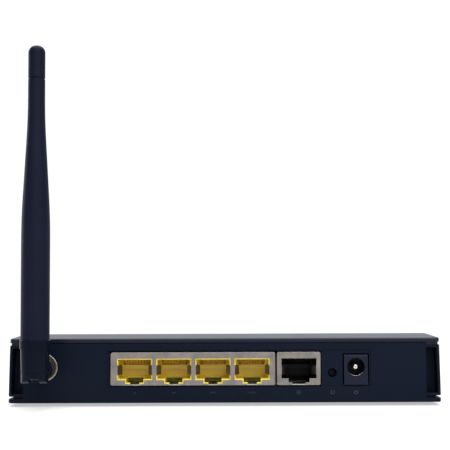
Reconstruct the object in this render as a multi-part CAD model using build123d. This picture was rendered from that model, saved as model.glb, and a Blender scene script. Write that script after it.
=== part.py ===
from build123d import *
import os
from math import cos, radians, sin, tan

os.makedirs("parts", exist_ok=True)

# A small desktop wireless router: a wedge-shaped plastic case, a rear panel with a four-way LAN
# socket block, a WAN socket, a reset hole and a power inlet, and one swivelling, tilting antenna.
#
# Everything is drawn in case coordinates, in millimetres: x is across the case with 0 at its
# middle, y is the depth behind the rear panel's outer face, and z is the height above the
# underside of the base. save() moves it to the resting frame, with the feet on z = 0.

# ---------------------------------------------------------------- driving dimensions

# Case
CASE_DEPTH = 112.0
BASE_HALF_WIDTH = 77.25
BASE_THICKNESS = 1.45
LID_HALF_WIDTH = 76.8
REAR_HEIGHT = 22.9
CREST_HEIGHT = 23.5
CREST_DEPTH = 28.5
CREST_BLEND = 4.0
FRONT_HEIGHT = 19.3
CASE_CORNER = 1.5
WALL = 2.0
FOOT_HEIGHT = 1.2

# Lid
LID_LIP = 1.5
SEAM_STEP = 1.0
SEAM_INSET = 0.35
LID_RIB_DROP = 2.4

# Side trims, channel-shaped covers over the case's side walls
SIDE_WALL_OUTER = 71.9
SIDE_WALL_INNER = 70.4
TRIM_TOP_HALF_WIDTH = 76.57
TRIM_BOTTOM = 2.4
TRIM_WALL = 1.1
TRIM_FLANGE = 0.9
TRIM_RECESS = 5.5
PLINTH_HALF_WIDTH = 75.25
VENT_COUNT = 15
VENT_PITCH = 4.6
VENT_WIDTH = 1.9
FIRST_VENT_DEPTH = 28.0
VENT_BOTTOM = 6.0
VENT_DROP = 8.2

# Main board
BOARD_HALF_WIDTH = 60.0
BOARD_REAR = 3.0
BOARD_FRONT = 100.0
BOARD_THICKNESS = 1.6
BOARD_TOP = 6.25
BOARD_BOTTOM = BOARD_TOP - BOARD_THICKNESS
BOARD_SCREW_X = 55.0
BOARD_SCREW_DEPTHS = (17.0, 90.0)
PROCESSOR_PLACE = (-4.0, 52.0)
CAN_X = (-52.0, -26.0)
CAN_DEPTHS = (40.0, 64.0)

# Case screws and feet
POST_X = 65.5
POST_DEPTHS = (25.0, 97.0)
POST_RADIUS = 3.2
POST_BOTTOM = 4.0
FOOT_X = 58.0
FOOT_DEPTHS = (18.0, 90.0)
FOOT_RADIUS = 5.0
FOOT_POCKET = 0.5

# Underside: wall-hanging keyholes, vents and the blank label
KEYHOLE_SPACING = 90.0
KEYHOLE_DEPTH = 56.0
KEYHOLE_RADIUS = 4.0
KEYHOLE_SLOT = 4.0
FLOOR_VENT_ROWS = (28.0, 78.0)
FLOOR_VENT_COUNT = 11
FLOOR_VENT_PITCH = 6.0
LABEL_X = (-26.0, 26.0)
LABEL_DEPTHS = (45.5, 74.5)

# Network sockets: openings in the metal shield, and how far the plastic's rim shows inside them
PORT_PITCH = 13.97
LAN_CENTRES = [-32.13 + PORT_PITCH * number for number in range(4)]
WAN_CENTRE = 26.47
LAN_BLOCK = (-40.7, 17.98)
WAN_BLOCK = (18.62, 34.1)
JACK_FACE = -0.3
JACK_BACK = 16.2
JACK_TOP = 17.9
SHEET = 0.3
SHIELD_CORNER = 0.7
LAN_OPENING = dict(half=6.27, top=15.7, ledge=8.1, notch=3.43, step=6.85, slot=2.0, low=6.4)
WAN_OPENING = dict(half=6.25, top=15.7, ledge=8.5, notch=3.75, step=7.1, slot=2.32, low=6.45)
LAN_RIM = 0.35
WAN_RIM = 0.15
FIELD_HEIGHTS = (5.5, 18.75)
CAVITY_DEPTH = 13.0
COMB_DEPTH = 11.0
CONTACT_BAY = 12.9
CONTACT_PITCH = 1.02
CONTACT_WIDTH = 0.6
LATCH_DEPTH = 15.2

# Power inlet
INLET_X = 46.82
INLET_HALF_WIDTH = 4.25
INLET_TOP = 16.9
INLET_BACK = 13.8
BORE_HEIGHT = 12.55
BORE_RADIUS = 3.15
BORE_DEPTH = 9.8
CENTRE_PIN_RADIUS = 1.0
CENTRE_PIN_ROOT_RADIUS = 0.7

# Reset switch and pairing button
RESET_X = 38.42
RESET_HEIGHT = 10.5
RESET_HOLE_RADIUS = 1.6
RESET_RECESS = 2.6
PLUNGER_RADIUS = 1.25
PLUNGER_CLEARANCE = 0.05
BUTTON_X = 50.0
BUTTON_HEIGHT = 9.6
BUTTON_RADIUS = 4.0
BUTTON_GAP = 0.25
KEY_TRAVEL = 0.3

# Status lights
LIGHT_COUNT = 8
LIGHT_PITCH = 9.0
FIRST_LIGHT_X = -46.0
LIGHT_HEIGHT = 9.6
WINDOW_X = (-52.0, 23.0)
WINDOW_HEIGHTS = (6.3, 12.9)
WINDOW_THICKNESS = 1.1

# Antenna connector and antenna
ANTENNA_X = -64.45
JACK_HEIGHT = 12.65
RING_RADIUS = 4.93
RING_STROKE = 0.6
BARREL_RADIUS = 3.1
COUPLING_RADIUS = 4.15
SWIVEL_RADIUS = 4.4
MAST_REACH = 19.5
TONGUE_HALF_THICKNESS = 1.6
TONGUE_RADIUS = 2.9
HINGE_PIN_RADIUS = 1.25
RUNNING_CLEARANCE = 0.05
FOOT_END_RADIUS = 3.95
FORK_GAP = 0.2
COLLAR_RADIUS = 5.2
COLLAR_HEIGHTS = (20.4, 23.5)
SPIGOT_RADIUS = 4.1
MAST_BORE_RADIUS = 3.2
SHAFT_RADIUS = 4.92
MAST_TIP_RADIUS = 2.92
TAPER_START = 64.7
TAPER_END = 99.4
CAP_START = 113.2
MAST_TOP = 124.5

# Coax lead inside the case, from the antenna jack to its plug on the board
LEAD_RADIUS = 0.65
LEAD_END = (-45.0, 31.0, BOARD_TOP + 1.4)

# The resting frame: the whole object's box is centred on y = 0
REAR_FACE_Y = (MAST_REACH + COLLAR_RADIUS - CASE_DEPTH) / 2


# ---------------------------------------------------------------- helpers

def save(name, *solids):
    """Write one named piece, moved from case coordinates to the resting frame."""
    place = Pos(0, REAR_FACE_Y, FOOT_HEIGHT)
    parts = [place * solid for shape in solids for solid in shape.solids()]
    shape = parts[0] if len(parts) == 1 else Compound(children=parts)
    export_step(shape, f"parts/{name}.step")


def block(x0, x1, y0, y1, z0, z1):
    middle = Pos((x0 + x1) / 2, (y0 + y1) / 2, (z0 + z1) / 2)
    return middle * Box(x1 - x0, y1 - y0, z1 - z0)


def rod_x(y, z, radius, x0, x1):
    return Pos((x0 + x1) / 2, y, z) * Rot(0, 90, 0) * Cylinder(radius, x1 - x0)


def rod_y(x, z, radius, y0, y1):
    return Pos(x, (y0 + y1) / 2, z) * Rot(90, 0, 0) * Cylinder(radius, y1 - y0)


def rod_z(x, y, radius, z0, z1):
    return Pos(x, y, (z0 + z1) / 2) * Cylinder(radius, z1 - z0)


def prism_x(points, x0, x1):
    """A prism along x from (y, z) corners."""
    outline = Polyline(*[(x0, y, z) for y, z in points], close=True)
    return extrude(make_face(outline), x1 - x0, dir=(1, 0, 0))


def prism_y(points, y0, y1):
    """A prism along y from (x, z) corners."""
    outline = Polyline(*[(x, y0, z) for x, z in points], close=True)
    return extrude(make_face(outline), y1 - y0, dir=(0, 1, 0))


def bend(before, corner, after, reach):
    """Start, middle and end of the arc that rounds a corner, meeting each line `reach` from it."""
    point = Vector(*corner)
    back = (Vector(*before) - point).normalized()
    ahead = (Vector(*after) - point).normalized()
    half_angle = radians(back.get_angle(ahead)) / 2
    radius = reach * tan(half_angle)
    inward = (back + ahead).normalized()
    middle = point + inward * (radius / sin(half_angle) - radius)
    return point + back * reach, middle, point + ahead * reach


def mirrored(shape):
    """The same shape on the case's other side."""
    return mirror(shape, about=Plane.YZ)


# ---------------------------------------------------------------- case shape

def under_lid(drop, bottom=0.0):
    """Everything from `bottom` up to the lid's top surface lowered by `drop`."""
    rear = (0, 0, REAR_HEIGHT - drop)
    crest = (0, CREST_DEPTH, CREST_HEIGHT - drop)
    front = (0, CASE_DEPTH, FRONT_HEIGHT - drop)
    start, middle, end = bend(rear, crest, front, CREST_BLEND)
    outline = [
        Line((0, 0, bottom), rear),
        Line(rear, start),
        ThreePointArc(start, middle, end),
        Line(end, front),
        Line(front, (0, CASE_DEPTH, bottom)),
        Line((0, CASE_DEPTH, bottom), (0, 0, bottom)),
    ]
    return extrude(make_face(outline), 2 * BASE_HALF_WIDTH, dir=(1, 0, 0), both=True)


def footprint(half_width, inset=0.0, bottom=0.0, top=REAR_HEIGHT + 5):
    """An upright prism with the case's rounded plan, drawn in by `inset` at front and rear."""
    plan = RectangleRounded(2 * half_width, CASE_DEPTH - 2 * inset, CASE_CORNER)
    return Pos(0, CASE_DEPTH / 2, bottom) * extrude(plan, top - bottom)


def lid_height(depth):
    """Height of the lid's top surface at a depth, leaving out the rounding of its crest."""
    if depth < CREST_DEPTH:
        return REAR_HEIGHT + (CREST_HEIGHT - REAR_HEIGHT) * depth / CREST_DEPTH
    fall = (CREST_HEIGHT - FRONT_HEIGHT) / (CASE_DEPTH - CREST_DEPTH)
    return CREST_HEIGHT - fall * (depth - CREST_DEPTH)


def vent_depths():
    return [FIRST_VENT_DEPTH + VENT_PITCH * number for number in range(VENT_COUNT)]


def corner_places(x, depths):
    return [(side * x, depth) for side in (-1, 1) for depth in depths]


def make_top_cover():
    drop = LID_LIP
    shell = footprint(LID_HALF_WIDTH) & (under_lid(0) - under_lid(drop))
    top = shell.faces().filter_by(lambda face: face.normal_at().Z > 0.9)
    rim = [edge for edge in top.edges() if not is_crest_seam(edge)]
    shell = fillet(rim, 0.6)
    step = footprint(LID_HALF_WIDTH - SEAM_INSET, SEAM_INSET) & (
        under_lid(drop) - under_lid(drop + SEAM_STEP)
    )
    over_walls = block(-SIDE_WALL_OUTER, SIDE_WALL_OUTER, 0, CASE_DEPTH, 0, 30)
    rib = inner_block(0.2) - inner_block(1.4)
    locating_rib = rib & (under_lid(drop) - under_lid(drop + LID_RIB_DROP))
    cover = shell + (step - over_walls) + locating_rib
    posts = [rod_z(x, y, POST_RADIUS, POST_BOTTOM, lid_height(y) - drop + 0.3)
             for x, y in corner_places(POST_X, POST_DEPTHS)]
    holes = [rod_z(x, y, 1.15, POST_BOTTOM - 1, POST_BOTTOM + 9)
             for x, y in corner_places(POST_X, POST_DEPTHS)]
    return cover + posts - holes


def inner_block(gap):
    """The room between the case's walls, drawn in by `gap` all round."""
    half_width = SIDE_WALL_INNER - gap
    return block(-half_width, half_width, WALL + gap, CASE_DEPTH - WALL - gap, 0, 30)


def is_crest_seam(edge):
    """True for the hidden edges that cross the lid where its crest's arc meets the flats."""
    box = edge.bounding_box()
    on_crest = abs(edge.center().Y - CREST_DEPTH) < CREST_BLEND + 1
    return on_crest and box.size.X > LID_HALF_WIDTH


def make_side_trim():
    """The +x trim: a channel, open at the rear, with vent slots through its leaning outer wall."""
    top_drop = LID_LIP + SEAM_STEP
    outer = trim_section(SIDE_WALL_OUTER, 0.0)
    bar = prism_y(outer, 0, CASE_DEPTH) & footprint(BASE_HALF_WIDTH) & under_lid(top_drop)
    inner = trim_section(SIDE_WALL_OUTER - 1, TRIM_WALL)
    hollow = prism_y(inner, 0, CASE_DEPTH - 1.5) & under_lid(top_drop + TRIM_FLANGE)
    web = block(SIDE_WALL_OUTER, BASE_HALF_WIDTH - 0.5, TRIM_RECESS, TRIM_RECESS + 1.2, 0, REAR_HEIGHT)
    trim = bar - hollow + (web & bar)
    slots = [block(BASE_HALF_WIDTH - 3, BASE_HALF_WIDTH + 2, y, y + VENT_WIDTH,
                   VENT_BOTTOM, lid_height(y) - VENT_DROP)
             for y in vent_depths()]
    return trim - slots


def trim_section(inner_x, wall):
    """Corners of the trim's leaning section, with its outer side and bottom drawn in by a wall."""
    low = TRIM_BOTTOM + (TRIM_FLANGE if wall else 0.0)
    return [(inner_x, low), (BASE_HALF_WIDTH - wall, low),
            (TRIM_TOP_HALF_WIDTH - wall, REAR_HEIGHT), (inner_x, REAR_HEIGHT)]


def make_bottom_case():
    seam_drop = LID_LIP + 0.3
    floor = footprint(BASE_HALF_WIDTH, top=BASE_THICKNESS)
    floor = chamfer(floor.faces().sort_by(Axis.Z)[0].edges(), 0.35)
    plinth = block(-PLINTH_HALF_WIDTH, PLINTH_HALF_WIDTH, 1.0, CASE_DEPTH - 1.0,
                   BASE_THICKNESS, TRIM_BOTTOM)
    room = block(-SIDE_WALL_INNER, SIDE_WALL_INNER, WALL, CASE_DEPTH - WALL, BASE_THICKNESS, 30)
    walls = block(-SIDE_WALL_OUTER, SIDE_WALL_OUTER, 0, CASE_DEPTH, BASE_THICKNESS - 0.5, 30)
    walls = walls & under_lid(seam_drop)
    case = floor + plinth + walls - room
    case = case + standoffs() + screw_cups()
    case = case - rear_openings() - front_openings() - underside_openings()
    windows = [block(SIDE_WALL_INNER - 1, SIDE_WALL_OUTER + 1, y, y + 12,
                     VENT_BOTTOM, lid_height(y + 12) - VENT_DROP)
               for y in (28.0, 42.0, 56.0, 70.0, 84.0)]
    return case - windows - [mirrored(window) for window in windows]


def standoffs():
    """Posts that the board's screws bite into."""
    posts = []
    for x, y in corner_places(BOARD_SCREW_X, BOARD_SCREW_DEPTHS):
        post = rod_z(x, y, 3.0, BASE_THICKNESS - 0.2, BOARD_BOTTOM)
        posts.append(post - rod_z(x, y, 1.15, BASE_THICKNESS, BOARD_BOTTOM + 1))
    return posts


def screw_cups():
    """Raised cups that the case screws' heads sit in, from below."""
    return [rod_z(x, y, 4.3, BASE_THICKNESS - 0.2, POST_BOTTOM)
            for x, y in corner_places(POST_X, POST_DEPTHS)]


def rear_openings():
    left = LAN_BLOCK[0] - 0.4
    right = WAN_BLOCK[1] + 0.4
    panel = (-1.0, WALL + 1.0)
    cuts = [
        block(left, right, *panel, BOARD_TOP - 0.35, JACK_TOP + 0.4),
        block(INLET_X - INLET_HALF_WIDTH - 0.45, INLET_X + INLET_HALF_WIDTH + 0.45, *panel,
              BOARD_TOP - 0.3, INLET_TOP + 0.45),
        rod_y(RESET_X, RESET_HEIGHT, RESET_HOLE_RADIUS, *panel),
        jack_rod(BARREL_RADIUS + 0.1, *panel),
        jack_rod(RING_RADIUS + 0.3, -1, 0.4),
        # a shallow field around the sockets
        block(-42.0, 52.1, -1, 0.3, *FIELD_HEIGHTS),
    ]
    return cuts


def front_openings():
    front = CASE_DEPTH
    recess = block(*WINDOW_X, front - WINDOW_THICKNESS - 0.05, front + 1, *WINDOW_HEIGHTS)
    slots = [block(x - 1.5, x + 1.5, front - WALL - 1, front, LIGHT_HEIGHT - 0.9, LIGHT_HEIGHT + 0.9)
             for x in light_places()]
    button = rod_y(BUTTON_X, BUTTON_HEIGHT, BUTTON_RADIUS + BUTTON_GAP, front - WALL - 1, front + 1)
    return [recess, button, *slots]


def light_places():
    return [FIRST_LIGHT_X + LIGHT_PITCH * number for number in range(LIGHT_COUNT)]


def underside_openings():
    cuts = []
    for x, y in corner_places(POST_X, POST_DEPTHS):
        cuts.append(rod_z(x, y, 2.7, -1, 2.6))
        cuts.append(rod_z(x, y, 1.3, 2, POST_BOTTOM + 1))
    for x, y in corner_places(FOOT_X, FOOT_DEPTHS):
        cuts.append(rod_z(x, y, FOOT_RADIUS + 0.15, -1, FOOT_POCKET))
    for x in (-KEYHOLE_SPACING / 2, KEYHOLE_SPACING / 2):
        cuts.append(rod_z(x, KEYHOLE_DEPTH, KEYHOLE_RADIUS, -1, BASE_THICKNESS + 1))
        cuts.append(block(x - KEYHOLE_SLOT / 2, x + KEYHOLE_SLOT / 2, KEYHOLE_DEPTH, KEYHOLE_DEPTH + 9,
                          -1, BASE_THICKNESS + 1))
    for row in FLOOR_VENT_ROWS:
        for number in range(FLOOR_VENT_COUNT):
            x = FLOOR_VENT_PITCH * (number - (FLOOR_VENT_COUNT - 1) / 2)
            cuts.append(block(x - 1, x + 1, row, row + 14, -1, BASE_THICKNESS + 1))
    cuts.append(block(*LABEL_X, *LABEL_DEPTHS, -1, 0.25))
    return cuts


def make_front_window():
    front = CASE_DEPTH - 0.05
    window = block(WINDOW_X[0] + 0.1, WINDOW_X[1] - 0.1, front - WINDOW_THICKNESS, front,
                   WINDOW_HEIGHTS[0] + 0.1, WINDOW_HEIGHTS[1] - 0.1)
    return chamfer(window.faces().sort_by(Axis.Y)[-1].edges(), 0.2)


def make_light_pipe():
    """Eight light guides on one bar: each leads a light on the board to the front window."""
    end = CASE_DEPTH - WINDOW_THICKNESS - 0.15
    low = LIGHT_HEIGHT + 0.7
    pipe = block(light_places()[0] - 4, light_places()[-1] + 4, 102, 104.5, low, low + 1.5)
    lower, upper = LIGHT_HEIGHT - 0.8, LIGHT_HEIGHT + 0.8
    foot = BOARD_TOP + 0.9
    side = [(96.4, foot), (98.6, foot), (98.6, lower), (end, lower), (end, upper), (98.6, upper),
            (96.4, foot + 1.9)]
    for x in light_places():
        pipe = pipe + prism_x(side, x - 1.3, x + 1.3)
    return pipe


# ---------------------------------------------------------------- small case pieces

def make_rubber_feet():
    feet = []
    for x, y in corner_places(FOOT_X, FOOT_DEPTHS):
        foot = rod_z(x, y, FOOT_RADIUS, -FOOT_HEIGHT, FOOT_POCKET)
        feet.append(fillet(foot.faces().sort_by(Axis.Z)[0].edges(), 0.4))
    return feet


def screw(x, y, seat, head_radius, head_height, shank, upward=True):
    """A screw whose head rests on the plane z = seat, with a crossed recess."""
    way = 1 if upward else -1
    low, high = sorted((seat, seat - way * head_height))
    head = rod_z(x, y, head_radius, low, high)
    face = seat - way * head_height
    low, high = sorted((face + way * 0.8, face - way * 0.1))
    cross = block(x - 1.3, x + 1.3, y - 0.3, y + 0.3, low, high)
    cross = cross + block(x - 0.3, x + 0.3, y - 1.3, y + 1.3, low, high)
    low, high = sorted((seat, seat + way * shank))
    return head + rod_z(x, y, 1.1, low, high) - cross


def make_case_screws():
    return [screw(x, y, 2.6, 2.4, 1.4, 8.0) for x, y in corner_places(POST_X, POST_DEPTHS)]


def make_board_screws():
    return [screw(x, y, BOARD_TOP, 2.4, 1.5, 3.6, upward=False)
            for x, y in corner_places(BOARD_SCREW_X, BOARD_SCREW_DEPTHS)]


def make_rating_label():
    return block(LABEL_X[0] + 0.3, LABEL_X[1] - 0.3, LABEL_DEPTHS[0] + 0.3, LABEL_DEPTHS[1] - 0.3,
                 0.1, 0.25)


# ---------------------------------------------------------------- network sockets

def socket_shape(centre, size, rim, y0, y1):
    """The opening of a network socket: a wide mouth, and two steps below it for the plug's latch."""
    wide, notch, slot = size["half"] - rim, size["notch"] - rim, size["slot"] - rim
    top, ledge = size["top"] - rim, size["ledge"] + rim
    step, low = size["step"] + rim, size["low"] + rim
    right = [(wide, top), (wide, ledge), (notch, ledge), (notch, step), (slot, step), (slot, low)]
    left = [(-x, z) for x, z in reversed(right)]
    return prism_y([(centre + x, z) for x, z in right + left], y0, y1)


def rounded_box(x0, x1, y0, y1, z0, z1, corner):
    """A box whose four edges along y are rounded."""
    box = block(x0, x1, y0, y1, z0, z1)
    return fillet(box.edges().filter_by(Axis.Y), corner)


def ground_spring(centre, side, size):
    """A sheet-metal spring that bulges into a socket from the mouth's side."""
    edge = size["half"]
    root = JACK_FACE + 0.05
    line = [(edge + 0.25, root), (edge - 1.3, 3.2), (edge - 0.15, 6.8), (edge - 0.4, 6.8),
            (edge - 1.6, 3.2), (edge - 0.1, root)]
    points = [(centre + side * x, y, 9.95) for x, y in line]
    return extrude(make_face(Polyline(*points, close=True)), 3.15, dir=(0, 0, 1))


def make_jack_shield(block_x, centres, size):
    """Folded sheet around a socket block: face with openings, top, sides and back, open below."""
    x0, x1 = block_x
    outside = rounded_box(x0, x1, JACK_FACE, JACK_BACK, BOARD_TOP, JACK_TOP, SHIELD_CORNER)
    inside = rounded_box(x0 + SHEET, x1 - SHEET, JACK_FACE + SHEET, JACK_BACK - SHEET,
                         BOARD_TOP + SHEET, JACK_TOP - SHEET, SHIELD_CORNER - SHEET)
    below = block(x0 + SHEET, x1 - SHEET, 2.5, JACK_BACK - SHEET, BOARD_TOP - 1, BOARD_TOP + 1)
    shield = outside - inside - below
    for centre in centres:
        shield = shield - socket_shape(centre, size, 0, JACK_FACE - 1, JACK_FACE + SHEET + 0.2)
        for side in (-1, 1):
            shield = shield + ground_spring(centre, side, size)
    return shield


def make_jack_housing(block_x, centres, size, rim):
    x0, x1 = block_x
    gap = SHEET + 0.05
    body = rounded_box(x0 + gap, x1 - gap, JACK_FACE + gap, JACK_BACK - gap,
                       BOARD_TOP + gap, JACK_TOP - gap, 0.3)
    for centre in centres:
        body = body - socket_shape(centre, size, rim, JACK_FACE, COMB_DEPTH)
        # behind the mouth the cavity runs on under a bar, and the contacts' bay opens above the bar
        body = body - block(centre - 5.6, centre + 5.6, COMB_DEPTH - 1, CAVITY_DEPTH, 8.6, 11.3)
        body = body - block(centre - 4.75, centre + 4.75, 1.4, CAVITY_DEPTH + 1, CONTACT_BAY, 15.9)
        # the latch's notch has no floor behind its lip
        latch = size["notch"] - rim
        body = body - block(centre - latch, centre + latch, 1.3, LATCH_DEPTH, BOARD_TOP, size["ledge"])
        # and its lowest step is open below
        slot = size["slot"] - rim
        body = body - block(centre - slot, centre + slot, JACK_FACE, 1.4, BOARD_TOP, size["step"])
        for side in (-1, 1):
            reach = sorted((centre + side * (size["half"] - 2), centre + side * (size["half"] + 0.35)))
            body = body - block(*reach, JACK_FACE, 7.4, 9.75, 13.3)
    return body


def make_jack_contacts(centres):
    """Eight spring wires for each socket, sloping in from under the mouth's upper edge."""
    wires = []
    for centre in centres:
        for number in range(8):
            x = centre + CONTACT_PITCH * (number - 3.5)
            line = [(1.7, 15.6), (1.7, 15.3), (10.4, CONTACT_BAY + 0.1), (10.4, 14.3), (13.9, 14.3),
                    (13.9, 14.6), (10.1, 14.6), (10.1, CONTACT_BAY + 0.5)]
            wires.append(prism_x(line, x - CONTACT_WIDTH / 2, x + CONTACT_WIDTH / 2))
    return wires


# ---------------------------------------------------------------- power inlet

def make_inlet_housing():
    x0, x1 = INLET_X - INLET_HALF_WIDTH, INLET_X + INLET_HALF_WIDTH
    body = block(x0, x1, -0.2, INLET_BACK, BOARD_TOP, INLET_TOP)
    top_edges = body.edges().filter_by(Axis.X).sort_by(Axis.Z)[-2:]
    body = chamfer(top_edges, 0.5)
    bore = rod_y(INLET_X, BORE_HEIGHT, BORE_RADIUS, -1, BORE_DEPTH)
    spring_bay = rod_y(INLET_X, BORE_HEIGHT, BORE_RADIUS + 0.4, 0.5, BORE_DEPTH)
    spring_bay = spring_bay & block(x0, x1, 0, BORE_DEPTH, 0, BORE_HEIGHT - 2.0)
    pin_hole = rod_y(INLET_X, BORE_HEIGHT, CENTRE_PIN_ROOT_RADIUS, BORE_DEPTH - 1, INLET_BACK + 1)
    return body - bore - spring_bay - pin_hole


def make_inlet_centre_pin():
    pin = rod_y(INLET_X, BORE_HEIGHT, CENTRE_PIN_RADIUS, 1.2, BORE_DEPTH)
    pin = fillet(pin.edges().sort_by(Axis.Y)[0], 0.6)
    root = rod_y(INLET_X, BORE_HEIGHT, CENTRE_PIN_ROOT_RADIUS, BORE_DEPTH - 0.2, INLET_BACK + 0.8)
    return pin + root


def make_inlet_spring():
    """A curved leaf along the bottom of the bore that presses on the plug's outer sleeve."""
    ring = rod_y(INLET_X, BORE_HEIGHT, BORE_RADIUS + 0.35, 0.7, BORE_DEPTH - 0.8)
    ring = ring - rod_y(INLET_X, BORE_HEIGHT, BORE_RADIUS - 0.05, 0, BORE_DEPTH)
    return ring & block(INLET_X - 4, INLET_X + 4, 0, BORE_DEPTH, 0, BORE_HEIGHT - 2.1)


# ---------------------------------------------------------------- switches and button

def make_reset_switch_body():
    body = block(RESET_X - 3.0, RESET_X + 3.0, 4.2, 8.0, BOARD_TOP, RESET_HEIGHT + 2.6)
    bore = rod_y(RESET_X, RESET_HEIGHT, PLUNGER_RADIUS + PLUNGER_CLEARANCE, 4, 6.8)
    return body - bore


def make_reset_plunger():
    plunger = rod_y(RESET_X, RESET_HEIGHT, PLUNGER_RADIUS, RESET_RECESS, 6.8 - KEY_TRAVEL - 0.1)
    return fillet(plunger.edges().sort_by(Axis.Y)[0], 0.25)


def make_pairing_switch_body():
    body = block(BUTTON_X - 3.0, BUTTON_X + 3.0, 93.4, 97.2, BOARD_TOP, BUTTON_HEIGHT + 2.6)
    bore = rod_y(BUTTON_X, BUTTON_HEIGHT, PLUNGER_RADIUS + PLUNGER_CLEARANCE, 94.6, 98)
    return body - bore


def make_pairing_plunger():
    return rod_y(BUTTON_X, BUTTON_HEIGHT, PLUNGER_RADIUS, 94.6 + KEY_TRAVEL + 0.1, 99.5)


def make_button_cap():
    """A round key with a dished face, a flange behind the panel and a stem to its switch."""
    face = CASE_DEPTH - 0.1
    key = rod_y(BUTTON_X, BUTTON_HEIGHT, BUTTON_RADIUS, CASE_DEPTH - 4.0, face)
    key = fillet(key.edges().sort_by(Axis.Y)[-1], 0.4)
    flange = rod_y(BUTTON_X, BUTTON_HEIGHT, BUTTON_RADIUS + 0.9, CASE_DEPTH - 4.0, CASE_DEPTH - 3.0)
    stem = rod_y(BUTTON_X, BUTTON_HEIGHT, 1.6, 99.5, CASE_DEPTH - 3.5)
    dish = Pos(BUTTON_X, face + 19.6, BUTTON_HEIGHT) * Sphere(20.0)
    return key + flange + stem - dish


# ---------------------------------------------------------------- main board and what it carries

def make_main_board():
    board = rounded_box_z(-BOARD_HALF_WIDTH, BOARD_HALF_WIDTH, BOARD_REAR, BOARD_FRONT,
                          BOARD_BOTTOM, BOARD_TOP, 2.0)
    holes = [rod_z(x, y, 1.6, 0, 10) for x, y in corner_places(BOARD_SCREW_X, BOARD_SCREW_DEPTHS)]
    return board - holes


def rounded_box_z(x0, x1, y0, y1, z0, z1, corner):
    """A box whose four upright edges are rounded."""
    box = block(x0, x1, y0, y1, z0, z1)
    return fillet(box.edges().filter_by(Axis.Z), corner)


def on_board(x, y, width, depth, height):
    """A plain package of this size, centred at (x, y) on the board's top."""
    return block(x - width / 2, x + width / 2, y - depth / 2, y + depth / 2,
                 BOARD_TOP, BOARD_TOP + height)


def chip(x, y, width, depth, height):
    """A moulded package with a chamfered top and a dimple at its first pin."""
    body = on_board(x, y, width, depth, height)
    body = chamfer(body.faces().sort_by(Axis.Z)[-1].edges(), 0.2)
    top = BOARD_TOP + height
    dimple = rod_z(x - width / 2 + 1.2, y - depth / 2 + 1.2, 0.4, top - 0.1, top + 1)
    return body - dimple


def make_network_transformers():
    return [chip(x, 27.0, 15.0, 12.5, 5.6) for x in (-30.0, -11.0, 8.0)]


def make_processor_heatsink():
    x, y = PROCESSOR_PLACE
    base = BOARD_TOP + 1.2
    sink = block(x - 9, x + 9, y - 9, y + 9, base, base + 1.5)
    fin_pitch = 2.1
    fins = [Pos(fin_pitch * number) * block(x - 9, x - 8, y - 9, y + 9, base + 1.2, base + 6.5)
            for number in range(9)]
    return sink + fins


def make_capacitors():
    """Upright electrolytic capacitors, each with the groove that its can is crimped at."""
    sizes = [(33.0, 24.0, 4.0, 11.0), (44.0, 30.0, 3.15, 9.0), (22.0, 31.0, 3.15, 9.0),
             (33.0, 43.0, 2.5, 7.0)]
    cans = []
    for x, y, radius, height in sizes:
        can = rod_z(x, y, radius, BOARD_TOP, BOARD_TOP + height)
        can = fillet(can.edges().sort_by(Axis.Z)[-1], 0.4)
        groove = rod_z(x, y, radius + 1, BOARD_TOP + 1.4, BOARD_TOP + 2.0)
        groove = groove - rod_z(x, y, radius - 0.3, BOARD_TOP, BOARD_TOP + 4)
        cans.append(can - groove)
    return cans


def make_inductors():
    """Square ferrite inductors with a round wound core in the middle."""
    coils = []
    for x, y in ((47.0, 42.0), (47.0, 52.0)):
        frame = on_board(x, y, 7.0, 7.0, 3.6)
        frame = fillet(frame.edges().filter_by(Axis.Z), 0.5)
        frame = frame - rod_z(x, y, 3.0, BOARD_TOP + 0.8, BOARD_TOP + 5)
        coils.append(frame + rod_z(x, y, 2.6, BOARD_TOP + 0.4, BOARD_TOP + 3.6))
    return coils


def make_regulators():
    regulators = []
    for x, y in ((30.0, 53.0), (30.0, 62.0), (46.0, 62.0)):
        tab = on_board(x, y + 2.6, 3.0, 2.0, 0.4)
        regulators.append(on_board(x, y, 6.5, 3.5, 1.6) + tab)
    return regulators


def make_shield_can():
    """A pressed lid over the radio, open below, with a grid of round holes."""
    can = rounded_box_z(*CAN_X, *CAN_DEPTHS, BOARD_TOP, BOARD_TOP + 2.8, 1.0)
    sheet = 0.25
    can = can - block(CAN_X[0] + sheet, CAN_X[1] - sheet, CAN_DEPTHS[0] + sheet, CAN_DEPTHS[1] - sheet,
                      BOARD_TOP - 1, BOARD_TOP + 2.8 - sheet)
    pitch = 3.6
    holes = [rod_z(CAN_X[0] + 4 + pitch * column, CAN_DEPTHS[0] + 4.8 + pitch * row, 0.7,
                   BOARD_TOP + 2, BOARD_TOP + 4)
             for column in range(6) for row in range(5)]
    return can - holes


def make_status_lights():
    return [on_board(x, 97.5, 1.6, 0.9, 0.7) for x in light_places()]


def make_small_parts():
    """Chip resistors and capacitors in rows around the processor and the sockets."""
    parts = []
    for number in range(12):
        parts.append(on_board(-38.0 + 5.2 * number, 37.0, 1.0, 0.5, 0.5))
        parts.append(on_board(-20.0 + 3.0 * number, 66.5, 0.5, 1.0, 0.5))
        parts.append(on_board(-44.0 + 5.4 * number, 91.5, 0.8, 1.6, 0.5))
    return parts


# ---------------------------------------------------------------- antenna connector

def jack_rod(radius, y0, y1):
    """A rod along the antenna jack's axis, which is also the swivel's axis."""
    return rod_y(ANTENNA_X, JACK_HEIGHT, radius, y0, y1)


def hinge_rod(radius, half_length):
    """A rod along the tilt hinge's axis."""
    return rod_x(-MAST_REACH, JACK_HEIGHT, radius, ANTENNA_X - half_length, ANTENNA_X + half_length)


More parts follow.
